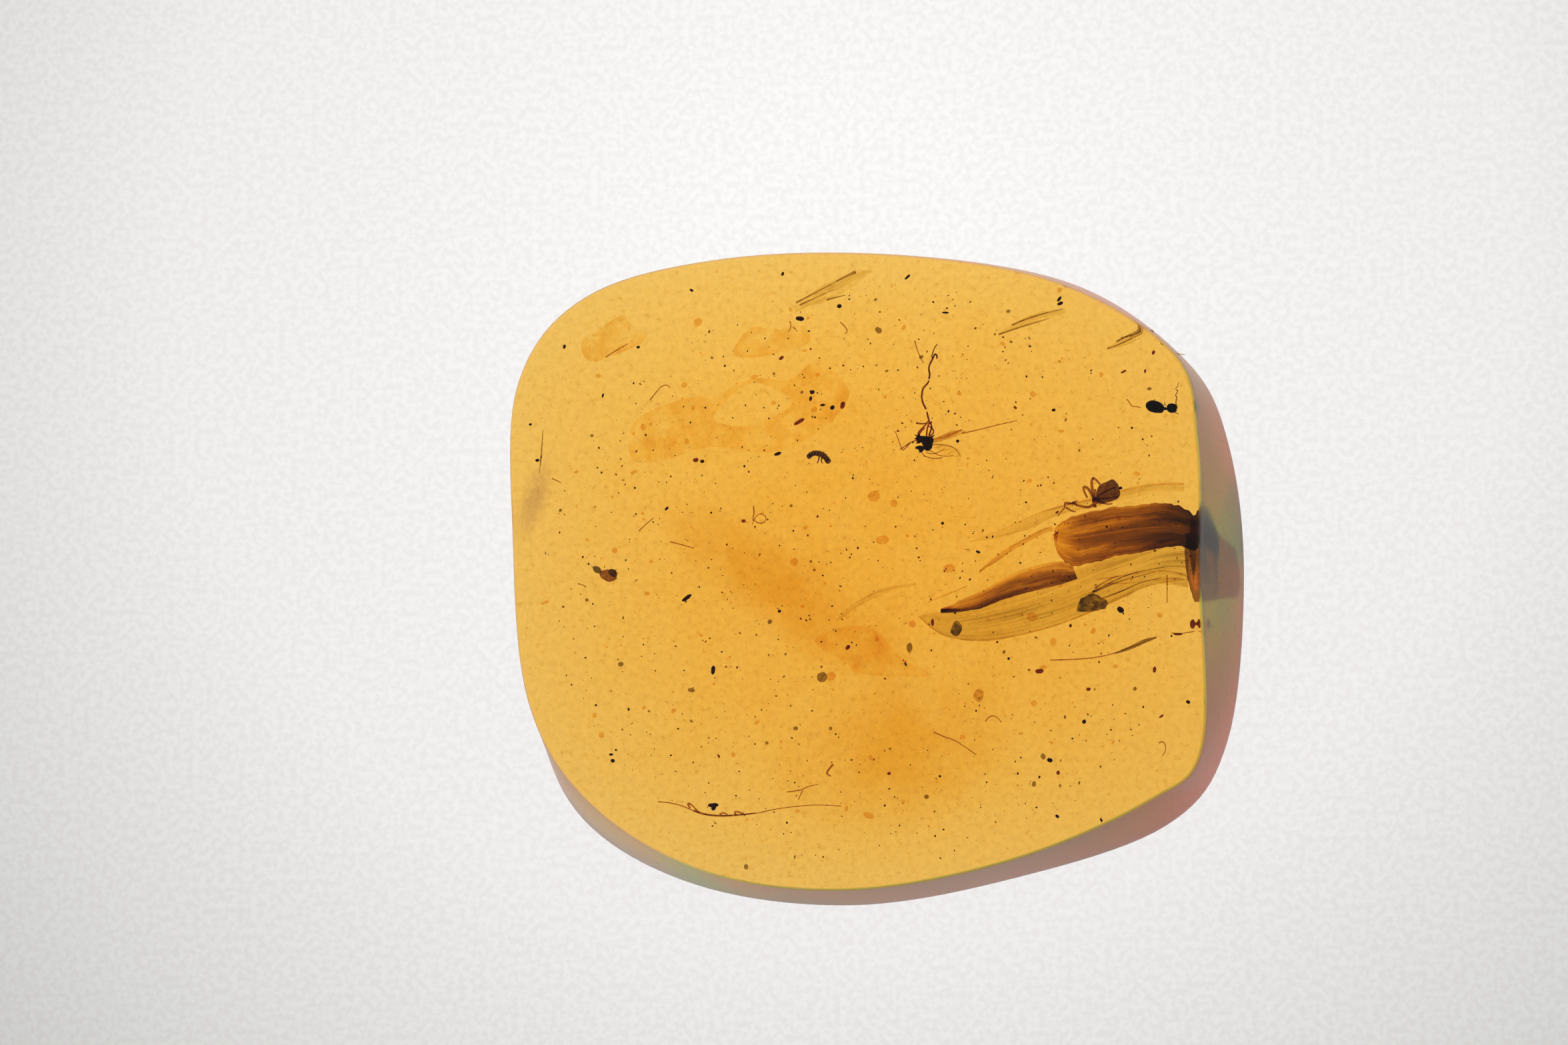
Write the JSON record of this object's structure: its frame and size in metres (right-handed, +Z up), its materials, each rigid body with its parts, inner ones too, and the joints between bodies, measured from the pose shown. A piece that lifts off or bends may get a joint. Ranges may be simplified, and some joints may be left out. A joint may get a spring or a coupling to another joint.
{
  "type": "spider in amber",
  "caption": "Flat rounded pebble of clear yellow amber, polished all over, with a small spider, insects and scraps of bark sealed inside it.",
  "frame": {"origin": "middle of the pebble's footprint, on the flat base it lies on", "axes": "+X along the longer side towards the steeper, thicker end, +Y across the pebble, +Z up out of the domed top"},
  "size_m": [0.0321, 0.0285, 0.0061],
  "materials": {
    "amber": "polished, clear yellow fossil resin",
    "spider": "dull dark brown",
    "wasp": "near-black shell",
    "thread": "thin red-brown strand",
    "beetle": "smooth black shell",
    "rove_beetle": "dark olive-brown shell",
    "bug": "crumpled red-brown shell",
    "bark": "streaked brown bark",
    "crumb": "dark bark crumb"
  },
  "bodies": {
    "root": {"amber_lower": "amber", "amber_upper": "amber", "spider": "spider", "wasp": "wasp", "thread": "thread", "beetle": "beetle", "rove_beetle": "rove_beetle", "bug": "bug", "bark_strip": "bark", "bark_splinter": "bark", "bark_sliver": "bark", "bark_crumb_1": "crumb", "bark_crumb_2": "crumb", "bark_crumb_3": "crumb"}
  },
  "joints": []
}
